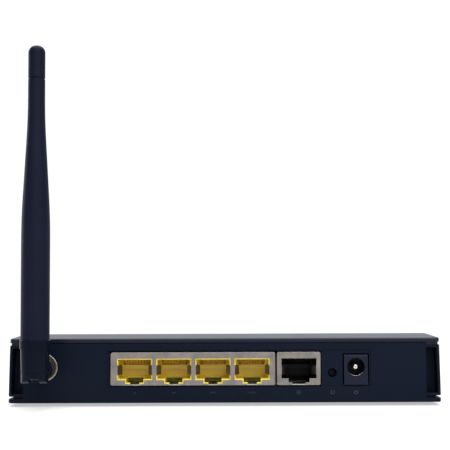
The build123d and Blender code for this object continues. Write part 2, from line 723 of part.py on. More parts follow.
def mast_rod(radius, z0, z1):
    """A rod along the upright mast's axis."""
    return rod_z(ANTENNA_X, -MAST_REACH, radius, z0, z1)


def make_antenna_jack_body():
    """A threaded barrel through the panel, with a flange inside and a tail for the coax."""
    body = jack_rod(BARREL_RADIUS, -7.0, WALL + 0.2)
    body = body + jack_rod(4.6, WALL, WALL + 1.6)
    body = body + jack_rod(1.6, WALL + 1.4, WALL + 6.0)
    mouth = jack_rod(2.35, -8, -0.8)
    through = jack_rod(1.15, -2, WALL + 7)
    return body - mouth - through


def make_antenna_jack_nut():
    """The round nut that holds the jack to the panel: a thin flange with a raised rim."""
    flange = jack_rod(RING_RADIUS, -0.75, 0.4)
    flange = fillet(flange.edges().sort_by(Axis.Y)[0], 0.25)
    dish = jack_rod(RING_RADIUS - RING_STROKE, -1, -0.1)
    hole = jack_rod(BARREL_RADIUS, -1, 1)
    return flange - dish - hole


def make_antenna_jack_insulator():
    tube = jack_rod(1.15, -1.8, WALL + 5.8)
    return tube - jack_rod(0.4, -3, WALL + 7)


def make_antenna_jack_contact():
    return jack_rod(0.4, -5.0, WALL + 5.8)


def make_coupling_nut():
    """The hand-tightened nut of the antenna's plug, with a knurled grip."""
    nut = jack_rod(COUPLING_RADIUS, -9.6, -0.9)
    nut = chamfer(nut.edges(), 0.4)
    nut = nut - jack_rod(BARREL_RADIUS, -7.2, 0)
    nut = nut - jack_rod(2.45, -11, -7)
    ridges = 24
    for number in range(ridges):
        angle = radians(360 / ridges * number)
        x = ANTENNA_X + (COUPLING_RADIUS + 0.1) * cos(angle)
        z = JACK_HEIGHT + (COUPLING_RADIUS + 0.1) * sin(angle)
        nut = nut - rod_y(x, z, 0.28, -8.6, -1.9)
    return nut


def make_swivel_block():
    """Turns in the coupling nut about the jack's axis, and holds the tongue of the tilt hinge."""
    shoulder = 5.3 - MAST_REACH
    body = jack_rod(SWIVEL_RADIUS, shoulder, -9.7)
    body = chamfer(body.edges(), 0.35)
    body = body + jack_rod(2.45 - RUNNING_CLEARANCE, -10.0, -7.4)
    half = TONGUE_HALF_THICKNESS
    tongue = block(ANTENNA_X - half, ANTENNA_X + half, -MAST_REACH, shoulder + 0.5,
                   JACK_HEIGHT - TONGUE_RADIUS, JACK_HEIGHT + TONGUE_RADIUS)
    body = body + tongue + hinge_rod(TONGUE_RADIUS, half)
    plug_hole = jack_rod(2.2, -12.5, -7)
    return body - hinge_rod(HINGE_PIN_RADIUS + RUNNING_CLEARANCE, 5) - plug_hole


def make_plug_body():
    tube = jack_rod(2.2, -12.5, -2.4)
    return tube - jack_rod(1.7, -11.5, -2)


def make_plug_contact():
    tube = jack_rod(0.8, -11.5, -2.8)
    return tube - jack_rod(0.4 + RUNNING_CLEARANCE, -9, -2)


# ---------------------------------------------------------------- antenna mast

def mast_outline():
    """Half of the mast's lengthwise section, as (radius, height) edges from collar to cap seat."""
    shaft_foot = (ANTENNA_X + SHAFT_RADIUS, -MAST_REACH, COLLAR_HEIGHTS[1])
    taper_start = (ANTENNA_X + SHAFT_RADIUS, -MAST_REACH, TAPER_START)
    taper_end = (ANTENNA_X + MAST_TIP_RADIUS, -MAST_REACH, TAPER_END)
    seat = (ANTENNA_X + MAST_TIP_RADIUS, -MAST_REACH, CAP_START - 0.5)
    axis_top = (ANTENNA_X, -MAST_REACH, CAP_START - 0.5)
    axis_foot = (ANTENNA_X, -MAST_REACH, COLLAR_HEIGHTS[1])
    first = bend(shaft_foot, taper_start, taper_end, 7.0)
    second = bend(taper_start, taper_end, seat, 7.0)
    return [
        Line(axis_foot, shaft_foot),
        Line(shaft_foot, first[0]),
        ThreePointArc(*first),
        Line(first[2], second[0]),
        ThreePointArc(*second),
        Line(second[2], seat),
        Line(seat, axis_top),
        Line(axis_top, axis_foot),
    ]


MAST_AXIS = Axis((ANTENNA_X, -MAST_REACH, 0), (0, 0, 1))


def make_mast_sleeve():
    """The long shaft: a tube that tapers to its cap, with a spigot down inside the collar."""
    shaft = revolve(make_face(mast_outline()), MAST_AXIS)
    spigot = mast_rod(SPIGOT_RADIUS, COLLAR_HEIGHTS[0], COLLAR_HEIGHTS[1] + 0.5)
    bore = mast_rod(MAST_BORE_RADIUS, COLLAR_HEIGHTS[0] - 1, 62) + mast_rod(1.5, 61, MAST_TOP)
    return shaft + spigot - bore


def make_hinge_housing():
    """The mast's foot: a collar round the shaft, and two ears with the swivel's tongue between them.

    The slot between the ears is open in front and below and closed behind, so the mast tilts one way.
    """
    collar = mast_rod(COLLAR_RADIUS, *COLLAR_HEIGHTS)
    collar = fillet(collar.edges().sort_by(Axis.Z)[-1], 0.35)
    low, high = JACK_HEIGHT - FOOT_END_RADIUS, COLLAR_HEIGHTS[0] + 0.2
    tapered = Pos(ANTENNA_X, -MAST_REACH, low) * Cone(
        4.62, 4.9, high - low, align=(Align.CENTER, Align.CENTER, Align.MIN)
    )
    rear, front = -MAST_REACH - 6, -MAST_REACH + 6
    upper = block(ANTENNA_X - 6, ANTENNA_X + 6, rear, front, JACK_HEIGHT, high)
    foot = collar + (tapered & (upper + hinge_rod(FOOT_END_RADIUS, 6)))
    spigot_seat = mast_rod(SPIGOT_RADIUS + 0.03, COLLAR_HEIGHTS[0], COLLAR_HEIGHTS[1] + 1)
    lead_hole = mast_rod(0.65, JACK_HEIGHT, COLLAR_HEIGHTS[0] + 1)
    return foot - fork_slot(front) - spigot_seat - lead_hole - hinge_rod(HINGE_PIN_RADIUS, 6)


def fork_slot(front):
    """Room for the tongue, and for the swivel's neck as the mast tilts from upright to level."""
    gap, reach = TONGUE_HALF_THICKNESS + FORK_GAP, TONGUE_RADIUS + FORK_GAP
    x0, x1 = ANTENNA_X - gap, ANTENNA_X + gap
    upright = block(x0, x1, -MAST_REACH, front, 0, JACK_HEIGHT + reach)
    level = block(x0, x1, -MAST_REACH - reach, front, 0, JACK_HEIGHT)
    return hinge_rod(reach, gap) + upright + level


def make_hinge_pin():
    return chamfer(hinge_rod(HINGE_PIN_RADIUS, 4.3).edges(), 0.2)


def make_tip_cap():
    """A domed cap with a plug that holds it in the mast's open end."""
    radius = MAST_TIP_RADIUS
    cap = mast_rod(radius, CAP_START, MAST_TOP)
    cap = fillet(cap.edges().sort_by(Axis.Z)[-1], radius - 0.35)
    neck = mast_rod(radius - 0.28, CAP_START - 0.5, CAP_START + 0.1)
    plug = mast_rod(1.5, CAP_START - 7, CAP_START)
    return cap + neck + plug


def make_ground_sleeve():
    tube = mast_rod(2.9, 30, 58)
    return tube - mast_rod(2.6, 31, 59) - mast_rod(0.65, 29, 32)


def make_feed_coax():
    return mast_rod(0.65, JACK_HEIGHT + TONGUE_RADIUS + 0.8, 59.0)


def make_radiator():
    """The bare element above the coax: a short straight rod on a wider ferrule."""
    return mast_rod(0.9, 59.0, 61.5) + mast_rod(0.5, 61.0, 104.0)


# ---------------------------------------------------------------- coax lead inside the case

def make_coax_lead():
    """The lead from the antenna jack down to its plug on the board."""
    end_x, end_y, end_z = LEAD_END
    route = [
        (ANTENNA_X, WALL + 5.8, JACK_HEIGHT),
        (ANTENNA_X, 17.0, JACK_HEIGHT),
        (-58.0, end_y, end_z),
        (end_x - 1.5, end_y, end_z),
    ]
    radii = [route_radius(*route[:3]), route_radius(*route[1:])]
    print("coax lead bend radii", [round(radius, 2) for radius in radii])
    path = FilletPolyline(*route, radius=radii)
    section = Plane(origin=path @ 0, z_dir=path % 0) * Circle(LEAD_RADIUS)
    return sweep(section, path=path)


def route_radius(before, corner, after):
    """0.45 of the shorter run, divided by the tangent of half the turn."""
    first = Vector(*corner) - Vector(*before)
    second = Vector(*after) - Vector(*corner)
    half_turn = radians(first.get_angle(second)) / 2
    return 0.45 * min(first.length, second.length) / tan(half_turn)


def make_lead_plug():
    """The small round plug that snaps down on the board's radio socket."""
    x, y, z = LEAD_END
    plug = rod_z(x, y, 1.5, BOARD_TOP + 0.6, BOARD_TOP + 2.1)
    return plug + block(x - 1.5, x, y - 0.8, y + 0.8, z - 0.7, z + 0.7)


def make_board_socket():
    x, y, _ = LEAD_END
    return on_board(x, y, 3.0, 3.0, 0.6)


# ---------------------------------------------------------------- write every piece

save("bottom_case", make_bottom_case())
save("top_cover", make_top_cover())
save("side_trim_right", make_side_trim())
save("side_trim_left", mirrored(make_side_trim()))
save("front_window", make_front_window())
save("light_pipe", make_light_pipe())
save("rubber_feet", *make_rubber_feet())
save("case_screws", *make_case_screws())
save("board_screws", *make_board_screws())
save("rating_label", make_rating_label())

save("lan_jack_shield", make_jack_shield(LAN_BLOCK, LAN_CENTRES, LAN_OPENING))
save("lan_jack_housing", make_jack_housing(LAN_BLOCK, LAN_CENTRES, LAN_OPENING, LAN_RIM))
save("lan_jack_contacts", *make_jack_contacts(LAN_CENTRES))
save("wan_jack_shield", make_jack_shield(WAN_BLOCK, [WAN_CENTRE], WAN_OPENING))
save("wan_jack_housing", make_jack_housing(WAN_BLOCK, [WAN_CENTRE], WAN_OPENING, WAN_RIM))
save("wan_jack_contacts", *make_jack_contacts([WAN_CENTRE]))
save("power_inlet_housing", make_inlet_housing())
save("power_inlet_centre_pin", make_inlet_centre_pin())
save("power_inlet_spring", make_inlet_spring())
save("reset_switch_body", make_reset_switch_body())
save("reset_plunger", make_reset_plunger())
save("pairing_switch_body", make_pairing_switch_body())
save("pairing_plunger", make_pairing_plunger())
save("pairing_button_cap", make_button_cap())

save("main_board", make_main_board())
save("network_transformers", *make_network_transformers())
save("processor_chip", chip(*PROCESSOR_PLACE, 14.0, 14.0, 1.2))
save("processor_heatsink", make_processor_heatsink())
save("memory_chip", chip(-4.0, 78.0, 22.2, 10.2, 1.1))
save("flash_chip", chip(20.0, 78.0, 5.2, 5.2, 1.8))
save("crystal", rounded_box_z(13.0, 24.0, 45.0, 49.5, BOARD_TOP, BOARD_TOP + 3.4, 2.2))
save("electrolytic_capacitors", *make_capacitors())
save("power_inductors", *make_inductors())
save("voltage_regulators", *make_regulators())
save("radio_shield_can", make_shield_can())
save("status_lights", *make_status_lights())
save("small_board_parts", *make_small_parts())

save("antenna_jack_body", make_antenna_jack_body())
save("antenna_jack_nut", make_antenna_jack_nut())
save("antenna_jack_insulator", make_antenna_jack_insulator())
save("antenna_jack_contact", make_antenna_jack_contact())
save("coax_lead", make_coax_lead())
save("coax_lead_plug", make_lead_plug())
save("board_radio_socket", make_board_socket())
save("antenna_coupling_nut", make_coupling_nut())

save("antenna_swivel_block", make_swivel_block())
save("antenna_plug_body", make_plug_body())
save("antenna_plug_contact", make_plug_contact())
save("antenna_hinge_housing", make_hinge_housing())
save("antenna_mast_sleeve", make_mast_sleeve())
save("antenna_hinge_pin", make_hinge_pin())
save("antenna_tip_cap", make_tip_cap())
save("antenna_ground_sleeve", make_ground_sleeve())
save("antenna_feed_coax", make_feed_coax())
save("antenna_radiator", make_radiator())
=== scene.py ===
import math

import bmesh
import bpy
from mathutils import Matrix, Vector


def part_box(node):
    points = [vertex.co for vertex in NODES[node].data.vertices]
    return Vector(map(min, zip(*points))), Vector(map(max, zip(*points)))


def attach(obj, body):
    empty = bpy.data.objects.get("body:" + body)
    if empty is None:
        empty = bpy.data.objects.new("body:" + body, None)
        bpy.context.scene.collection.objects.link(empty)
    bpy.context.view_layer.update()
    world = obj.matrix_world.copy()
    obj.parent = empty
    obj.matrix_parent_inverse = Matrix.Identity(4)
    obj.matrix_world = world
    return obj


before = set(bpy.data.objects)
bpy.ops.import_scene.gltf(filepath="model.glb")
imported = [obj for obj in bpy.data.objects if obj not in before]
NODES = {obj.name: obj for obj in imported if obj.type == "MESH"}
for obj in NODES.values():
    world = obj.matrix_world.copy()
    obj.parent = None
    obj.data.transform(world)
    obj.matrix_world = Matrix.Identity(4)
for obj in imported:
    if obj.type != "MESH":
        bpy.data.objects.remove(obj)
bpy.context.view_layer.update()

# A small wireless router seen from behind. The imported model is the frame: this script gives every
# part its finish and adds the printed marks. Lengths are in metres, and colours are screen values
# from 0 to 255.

MM = 0.001
REAR_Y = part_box("bottom_case")[0].y

# Camera, a little above the case and tipped up to take in the antenna
CAMERA_DISTANCE = 401 * MM
CAMERA_HEIGHT = 40.8 * MM
CAMERA_LENS = 89.4
CAMERA_SENSOR = 36.0
CAMERA_SHIFT_X = 0.0012
CAMERA_PITCH = math.radians(3.4)
CAMERA_ROLL = math.radians(0.2)
CAMERA_CLIP = (0.02, 20.0)

# Edges: how finely a rounded edge is sampled, and the cosines between its direction and the flat
# face's at which the edges' lightening (wear and painted highlight) starts and is full
EDGE_SAMPLES = 6
EDGE_START = 0.98
EDGE_FULL = 0.75

# Moulded plastic: its edges lighten in patches, partly from rubbing wear and partly as a painted highlight
FLOW_SIZE = 38 * MM
SPECKLE_SIZE = 0.5 * MM
SPECKLE_SHARE = 0.35
WEAR_AND_HIGHLIGHT_PATCH_SIZE = 2.5 * MM
WEAR_AND_HIGHLIGHT_STRENGTH = 0.5
SMEAR_SIZE = 16 * MM
FINE_GRAIN = 0.6

# Plated metal: tarnish, streaks, and how strongly a painted highlight lightens the edges
TARNISH_SIZE = 4 * MM
STREAK_SIZE = 0.28 * MM
STREAK_SHARE = 0.4
STREAK_DEPTH = 0.0025 * MM
PAINTED_EDGE_HIGHLIGHT = 0.7

# Printed marks: arcs are drawn in steps of that many degrees, corners closer than WELD are one,
# and the strokes and the ring are shares of a mark's size
PRINT_THICKNESS = 0.02 * MM
WELD = 0.001 * MM
ARC_STEP = 12.0
STROKE = 0.26
THIN_STROKE = 0.14
RING = 0.8
PIP_PITCH = 0.75 * MM
PIP_RADIUS = 0.23 * MM

# Marks on the rear panel, under the sockets
REAR_MARK_HEIGHT = 4.8 * MM
REAR_MARK_SIZE = 0.75 * MM
SOCKET_COUNT = 4
FIRST_SOCKET_X = -32.13 * MM
SOCKET_PITCH = 13.97 * MM
SOCKET_INK = (52, 58, 72)
PANEL_INK = (70, 76, 92)

# Marks on the front window, over the status lights
LIGHT_MARK_DROP = 2.6 * MM
LIGHT_MARK_SIZE = 0.85 * MM
LIGHT_COUNT = 8
LAMP_WIDTH = 1.6 * MM
WINDOW_INK = (176, 180, 188)

# The paper floor: it fades into the room's white between the two distances of FLOOR_FADE
FLOOR_RADIUS = 3.0
FLOOR_SIDES = 96
FLOOR_PAPER = (244, 244, 244)
FLOOR_FADE = (0.1, 0.3)
FLOOR_GLOW = 0.45

# The room's light: dim on the camera's side and bright behind the object. It changes between two
# values of a direction's Y part, which is -1 towards the camera and 1 behind the object.
ROOM_WHITE = 1.05
ROOM_FRONT = 0.03
ROOM_BACK = 0.78
ROOM_DIM_TO = -0.2
ROOM_BRIGHT_FROM = 0.85
ROOM_TINT = (0.88, 0.93, 1.0, 1.0)
LIGHT_AIM = (0, 0, 0.02)


def colour(red, green, blue):
    """A screen colour, 0 to 255 a channel, as the linear colour that a shader takes."""

    def linear(channel):
        value = channel / 255
        return value / 12.92 if value <= 0.04045 else ((value + 0.055) / 1.055) ** 2.4

    return (linear(red), linear(green), linear(blue), 1.0)


def brighter(shade, times, plus=0.0):
    """A linear colour that many times as bright, up to white."""
    return tuple(min(1.0, channel * times + plus) for channel in shade[:3]) + (1.0,)


# ---------------------------------------------------------------------------------------------
# Building materials
# ---------------------------------------------------------------------------------------------


class Nodes:
    """Adds nodes to a tree. An input is a plain value or another node's output."""

    def __init__(self, tree):
        self.tree = tree

    def add(self, kind, inputs=None, **settings):
        node = self.tree.nodes.new(kind)
        for name, value in settings.items():
            setattr(node, name, value)
        for socket, value in (inputs or {}).items():
            self.feed(node.inputs[socket], value)
        return node

    def feed(self, socket, value):
        if isinstance(value, bpy.types.NodeSocket):
            self.tree.links.new(value, socket)
        else:
            socket.default_value = value


class Look(Nodes):
    """A procedural material built round one Principled shader. Patterns are fixed to the part."""

    def __init__(self, name, **sockets):
        self.material = bpy.data.materials.new(name)
        self.material.use_nodes = True
        super().__init__(self.material.node_tree)
        self.shader = self.tree.nodes["Principled BSDF"]
        self.place = self.add("ShaderNodeTexCoord").outputs["Object"]
        self.set(**sockets)

    def set(self, **sockets):
        for socket, value in sockets.items():
            self.feed(self.shader.inputs[socket.replace("_", " ")], value)

    def stretched(self, stretch):
        """The part's own coordinates, with patterns drawn out along the axes where stretch is large."""
        scale = tuple(1 / amount for amount in stretch)
        return self.add("ShaderNodeMapping", {"Vector": self.place, "Scale": scale}).outputs["Vector"]

    def noise(self, size, detail=3.0, stretch=(1, 1, 1), roughness=0.55):
        """Noise from about 0 to 1, whose blotches are that size in metres."""
        inputs = {
            "Vector": self.stretched(stretch),
            "Scale": 1 / size,
            "Detail": detail,
            "Roughness": roughness,
        }
        return self.add("ShaderNodeTexNoise", inputs).outputs["Fac"]

    def cells(self, size, feature="F1", stretch=(1, 1, 1)):
        """The distance from the middle of a cell, or with another feature, from its edge."""
        inputs = {"Vector": self.stretched(stretch), "Scale": 1 / size}
        return self.add("ShaderNodeTexVoronoi", inputs, feature=feature).outputs["Distance"]

    def lines(self, size, direction):
        """Bands across one axis, one every size metres."""
        inputs = {"Vector": self.place, "Scale": math.pi / 10 / size}
        return self.add("ShaderNodeTexWave", inputs, bands_direction=direction).outputs["Fac"]

    def remap(self, value, low, high, to_low=0.0, to_high=1.0):
        """The value's range from low to high, stretched to another range and held inside it."""
        inputs = {
            "Value": value,
            "From Min": low,
            "From Max": high,
            "To Min": to_low,
            "To Max": to_high,
        }
        return self.add("ShaderNodeMapRange", inputs, clamp=True).outputs["Result"]

    def maths(self, operation, first, second=0.0):
        node = self.add("ShaderNodeMath", operation=operation)
        self.feed(node.inputs[0], first)
        self.feed(node.inputs[1], second)
        return node.outputs[0]

    def blend(self, main, other, share):
        """Two patterns in one, with that share of the other."""
        rest = self.maths("MULTIPLY", main, 1 - share)
        return self.maths("ADD", rest, self.maths("MULTIPLY", other, share))

    def mix(self, factor, first, second):
        """A colour between first and second."""
        node = self.add("ShaderNodeMix", data_type="RGBA")
        for socket, value in ((0, factor), (6, first), (7, second)):
            self.feed(node.inputs[socket], value)
        return node.outputs[2]

    def rounded(self, radius):
        """The surface's direction as if its edges had that radius."""
        return self.add("ShaderNodeBevel", {"Radius": radius}, samples=EDGE_SAMPLES).outputs["Normal"]

    def edges(self, normal):
        """1 on an edge that rounded() softens, 0 on the flat."""
        flat = self.add("ShaderNodeNewGeometry").outputs["Normal"]
        node = self.add("ShaderNodeVectorMath", operation="DOT_PRODUCT")
        self.feed(node.inputs[0], normal)
        self.feed(node.inputs[1], flat)
        return self.remap(node.outputs["Value"], EDGE_START, EDGE_FULL)

    def relief(self, height, depth, normal=None):
        """Bumps: height from 0 to 1 stands for 0 to depth metres."""
        inputs = {"Height": height, "Distance": depth, "Strength": 1.0}
        if normal is not None:
            inputs["Normal"] = normal
        return self.add("ShaderNodeBump", inputs).outputs["Normal"]


def moulded(name, dark, light, gloss, grain=0.22 * MM, depth=0.006 * MM, edge=0.15 * MM, **sockets):
    """Moulded plastic: spark-eroded grain, faint flow marks, handling smears, and edges lightened in
    patches by rubbing wear and a painted highlight.
    gloss is the lowest and highest roughness, grain and depth are the size of the surface's pits."""
    look = Look(name, **sockets)
    flow = look.noise(FLOW_SIZE, detail=2, stretch=(2.2, 1, 1))
    speckle = look.noise(SPECKLE_SIZE, detail=2)
    tone = look.remap(look.blend(flow, speckle, SPECKLE_SHARE), 0.3, 0.7)
    soft = look.rounded(edge)
    # Edges lightened in patches towards a paler colour: partly rubbing wear, partly painted highlight.
    patches = look.remap(look.noise(WEAR_AND_HIGHLIGHT_PATCH_SIZE), 0.35, 0.7)
    rubbed_and_highlit = look.maths("MULTIPLY", look.edges(soft), patches)
    rubbed_and_highlit_share = look.maths("MULTIPLY", rubbed_and_highlit, WEAR_AND_HIGHLIGHT_STRENGTH)
    pale = brighter(light, 1.9, 0.004)
    look.set(Base_Color=look.mix(rubbed_and_highlit_share, look.mix(tone, dark, light), pale))
    smear = look.noise(SMEAR_SIZE, detail=2, stretch=(1, 1.8, 1), roughness=0.45)
    look.set(Roughness=look.remap(smear, 0.2, 0.8, *gloss))
    fine = look.noise(grain * FINE_GRAIN, detail=2)
    pits = look.maths("ADD", look.cells(grain), look.maths("MULTIPLY", fine, 0.5))
    look.set(Normal=look.relief(pits, depth, soft))
    return look


def sheet_metal(name, dark, light, gloss, brushed=(1, 1, 1), edge=0.08 * MM):
    """Plated sheet or turned metal: rolling or turning lines, cloudy tarnish, and edges lightened as a
    painted highlight.
    gloss is the lowest and highest roughness, brushed draws the lines out along an axis."""
    look = Look(name, Metallic=1.0)
    cloud = look.noise(TARNISH_SIZE, detail=4, roughness=0.62)
    streak = look.noise(STREAK_SIZE, detail=2, stretch=brushed)
    tint = look.mix(look.remap(cloud, 0.32, 0.7), dark, light)
    soft = look.rounded(edge)
    # Painted highlight: every rounded edge is lightened towards a brighter copy of the metal.
    edge_highlight_share = look.maths("MULTIPLY", look.edges(soft), PAINTED_EDGE_HIGHLIGHT)
    look.set(Base_Color=look.mix(edge_highlight_share, tint, brighter(light, 2.2)))
    worn = look.blend(cloud, streak, STREAK_SHARE)
    look.set(Roughness=look.remap(worn, 0.35, 0.65, *gloss))
    look.set(Normal=look.relief(streak, STREAK_DEPTH, soft))
    return look


# ---------------------------------------------------------------------------------------------
# The finishes, one for each material slot of the record
# ---------------------------------------------------------------------------------------------


def case_plastic():
    return moulded(
        "case_plastic",
        colour(11, 17, 31),
        colour(16, 23, 38),
        gloss=(0.36, 0.48),
        Specular_IOR_Level=0.06,
    )


def lid_plastic():
    """The lid is glossier than the base, and its grain only just breaks up its reflections."""
    return moulded(
        "lid_plastic",
        colour(12, 18, 31),
        colour(17, 23, 38),
        gloss=(0.27, 0.31),
        grain=0.4 * MM,
        depth=0.0002 * MM,
        edge=0.05 * MM,
        Specular_IOR_Level=0.24,
    )


def trim_plastic():
    return moulded(
        "trim_plastic",
        colour(8, 13, 26),
        colour(12, 18, 34),
        gloss=(0.34, 0.46),
        Specular_IOR_Level=0.08,
    )


def antenna_plastic():
    """Soft-feeling elastomer over the mast: dull, a little cloudy, with a fine matt grain."""
    return moulded(
        "antenna_plastic",
        colour(19, 22, 36),
        colour(26, 29, 45),
        gloss=(0.34, 0.46),
        grain=0.14 * MM,
        depth=0.0035 * MM,
        edge=0.2 * MM,
        Specular_IOR_Level=0.05,
    )


def hinge_plastic():
    """Smooth hard plastic of the antenna's foot and swivel, shinier than the mast."""
    return moulded(
        "hinge_plastic",
        colour(9, 15, 27),
        colour(13, 19, 33),
        gloss=(0.12, 0.2),
        grain=0.3 * MM,
        depth=0.0015 * MM,
        edge=0.14 * MM,
        Specular_IOR_Level=0.05,
    )


def key_plastic():
    return moulded(
        "key_plastic",
        colour(9, 12, 19),
        colour(14, 17, 26),
        gloss=(0.24, 0.36),
        Specular_IOR_Level=0.08,
    )


def switch_plastic():
    return moulded(
        "switch_plastic",
        colour(14, 16, 19),
        colour(22, 24, 28),
        gloss=(0.4, 0.55),
        Specular_IOR_Level=0.3,
    )


def inlet_plastic():
    """Nylon socket body, a shade lighter than the case."""
    return moulded(
        "inlet_plastic",
        colour(20, 25, 40),
        colour(27, 32, 48),
        gloss=(0.26, 0.38),
        grain=0.3 * MM,
        Specular_IOR_Level=0.1,
    )


def lan_plastic():
    """Amber nylon, which lets some light into itself."""
    return moulded(
        "lan_plastic",
        colour(250, 216, 58),
        colour(255, 232, 92),
        gloss=(0.28, 0.42),
        grain=0.3 * MM,
        depth=0.003 * MM,
        Subsurface_Weight=0.25,
        Subsurface_Scale=1.2 * MM,
        Subsurface_Radius=(1.0, 0.6, 0.15),
    )


def wan_plastic():
    return moulded(
        "wan_plastic",
        colour(7, 7, 11),
        colour(11, 11, 16),
        gloss=(0.3, 0.42),
        Specular_IOR_Level=0.12,
    )


def chip_plastic():
    return moulded(
        "chip_plastic",
        colour(24, 24, 26),
        colour(36, 36, 38),
        gloss=(0.5, 0.7),
        grain=0.12 * MM,
    )


def window_plastic():
    """Smoked glossy window with hairline scratches and finger smears."""
    look = Look("window_plastic", Specular_IOR_Level=0.12, Coat_Weight=0.05, Coat_Roughness=0.06)
    depth = look.noise(14 * MM, detail=2)
    look.set(Base_Color=look.mix(depth, colour(6, 7, 10), colour(13, 14, 20)))
    smear = look.noise(9 * MM, detail=4, stretch=(1.6, 1, 1))
    hair = look.noise(0.12 * MM, detail=1, stretch=(40, 1, 3))
    look.set(Roughness=look.remap(look.blend(smear, hair, 0.25), 0.4, 0.66, 0.06, 0.24))
    look.set(Normal=look.relief(hair, 0.0008 * MM, look.rounded(0.2 * MM)))
    return look


def clear_plastic():
    """Milky light guides, clearer in places."""
    look = Look("clear_plastic", Transmission_Weight=0.55, IOR=1.49)
    cloud = look.noise(1.6 * MM, detail=3)
    look.set(Base_Color=look.mix(cloud, colour(206, 212, 214), colour(232, 236, 234)))
    look.set(Roughness=look.remap(cloud, 0.3, 0.7, 0.18, 0.42))
    return look


def rubber():
    """Dull foot rubber, dusty, with a fine moulded texture."""
    look = Look("rubber", Specular_IOR_Level=0.25)
    dust = look.noise(1.4 * MM, detail=5, roughness=0.7)
    look.set(Base_Color=look.mix(look.remap(dust, 0.5, 0.78), colour(28, 29, 31), colour(62, 62, 62)))
    look.set(Roughness=look.remap(dust, 0.3, 0.7, 0.72, 0.92))
    look.set(Normal=look.relief(look.cells(0.45 * MM), 0.02 * MM, look.rounded(0.25 * MM)))
    return look


def grip_plastic():
    return moulded(
        "grip_plastic",
        colour(18, 21, 30),
        colour(26, 29, 40),
        gloss=(0.4, 0.56),
        edge=0.1 * MM,
    )


def shield_metal():
    """Tin-plated steel, rolled along its length, with soft spangle and a few dull patches."""
    return sheet_metal(
        "shield_metal",
        colour(124, 118, 114),
        colour(148, 141, 136),
        gloss=(0.34, 0.48),
        brushed=(30, 1, 1),
        edge=0.16 * MM,
    )


def can_metal():
    return sheet_metal(
        "can_metal",
        colour(176, 176, 178),
        colour(204, 204, 204),
        gloss=(0.24, 0.4),
        brushed=(1, 24, 1),
    )


def heatsink_metal():
    return sheet_metal(
        "heatsink_metal",
        colour(150, 152, 156),
        colour(186, 188, 190),
        gloss=(0.34, 0.5),
        brushed=(1, 30, 1),
    )


def pin_metal():
    return sheet_metal(
        "pin_metal",
        colour(196, 192, 186),
        colour(226, 222, 216),
        gloss=(0.12, 0.26),
    )


def screw_steel():
    return sheet_metal("screw_steel", colour(92, 92, 96), colour(128, 128, 132), gloss=(0.26, 0.44))


def hinge_steel():
    return sheet_metal(
        "hinge_steel",
        colour(60, 62, 68),
        colour(94, 96, 102),
        gloss=(0.3, 0.5),
        brushed=(20, 1, 1),
    )


def contact_gold():
    return sheet_metal(
        "contact_gold",
        colour(206, 160, 78),
        colour(236, 194, 110),
        gloss=(0.16, 0.3),
        brushed=(1, 20, 1),
    )


def painted_shade_gold():
    """A darker copy of the contact gold: painted shade for the contacts deep in the black socket."""
    return sheet_metal(
        "painted_shade_gold",
        colour(52, 42, 26),
        colour(74, 62, 40),
        gloss=(0.3, 0.45),
        brushed=(1, 20, 1),
    )


def jack_gold():
    """Thin pale plating over brass."""
    return sheet_metal(
        "jack_gold",
        colour(136, 130, 116),
        colour(164, 158, 144),
        gloss=(0.22, 0.36),
    )


def copper():
    return sheet_metal(
        "copper",
        colour(176, 104, 72),
        colour(214, 144, 106),
        gloss=(0.24, 0.42),
        brushed=(1, 1, 12),
    )


def label_film():
    """Blank silver label film, a little wavy, with a fine fibrous sheen."""
    look = Look("label_film", Metallic=0.35, Specular_IOR_Level=0.4)
    wave = look.noise(16 * MM, detail=2)
    fibre = look.noise(0.3 * MM, detail=3)
    look.set(Base_Color=look.mix(look.remap(wave, 0.3, 0.7), colour(176, 178, 180), colour(196, 197, 198)))
    look.set(Roughness=look.remap(fibre, 0.3, 0.7, 0.32, 0.5))
    look.set(Normal=look.relief(wave, 0.05 * MM))
    return look


def board_laminate():
    """Green solder mask over tracks, with the glass weave just showing."""
    look = Look("board_laminate", Specular_IOR_Level=0.5, Coat_Weight=0.3, Coat_Roughness=0.15)
    blocks = look.cells(3.2 * MM, feature="DISTANCE_TO_EDGE", stretch=(2.4, 1, 1))
    tracks = look.remap(blocks, 0.04, 0.07)
    weave = look.maths("MULTIPLY", *(look.lines(0.5 * MM, axis) for axis in "XY"))
    mask = look.mix(look.remap(weave, 0.0, 0.8), colour(10, 62, 38), colour(16, 74, 46))
    look.set(Base_Color=look.mix(tracks, colour(44, 116, 66), mask))
    look.set(Roughness=look.remap(weave, 0.0, 1.0, 0.24, 0.38))
    look.set(Normal=look.relief(tracks, -0.03 * MM))
    return look


def ferrite():
    return moulded(
        "ferrite",
        colour(42, 42, 44),
        colour(60, 60, 62),
        gloss=(0.6, 0.8),
        depth=0.015 * MM,
    )


def ceramic():
    """Small chip parts: sandy ceramic bodies."""
    look = Look("ceramic", Specular_IOR_Level=0.45)
    sand = look.noise(0.25 * MM, detail=4)
    look.set(Base_Color=look.mix(look.remap(sand, 0.3, 0.7), colour(150, 118, 84), colour(190, 158, 118)))
    look.set(Roughness=look.remap(sand, 0.3, 0.7, 0.35, 0.55))
    look.set(Normal=look.relief(sand, 0.01 * MM, look.rounded(0.08 * MM)))
    return look


def lamp_resin():
    """Water-clear lamp resin with a pale phosphor under it."""
    look = Look("lamp_resin", Transmission_Weight=0.3, IOR=1.5)
    cup = look.noise(0.9 * MM, detail=2)
    look.set(Base_Color=look.mix(cup, colour(214, 216, 196), colour(238, 240, 226)))
    look.set(Roughness=look.remap(cup, 0.3, 0.7, 0.12, 0.3))
    return look


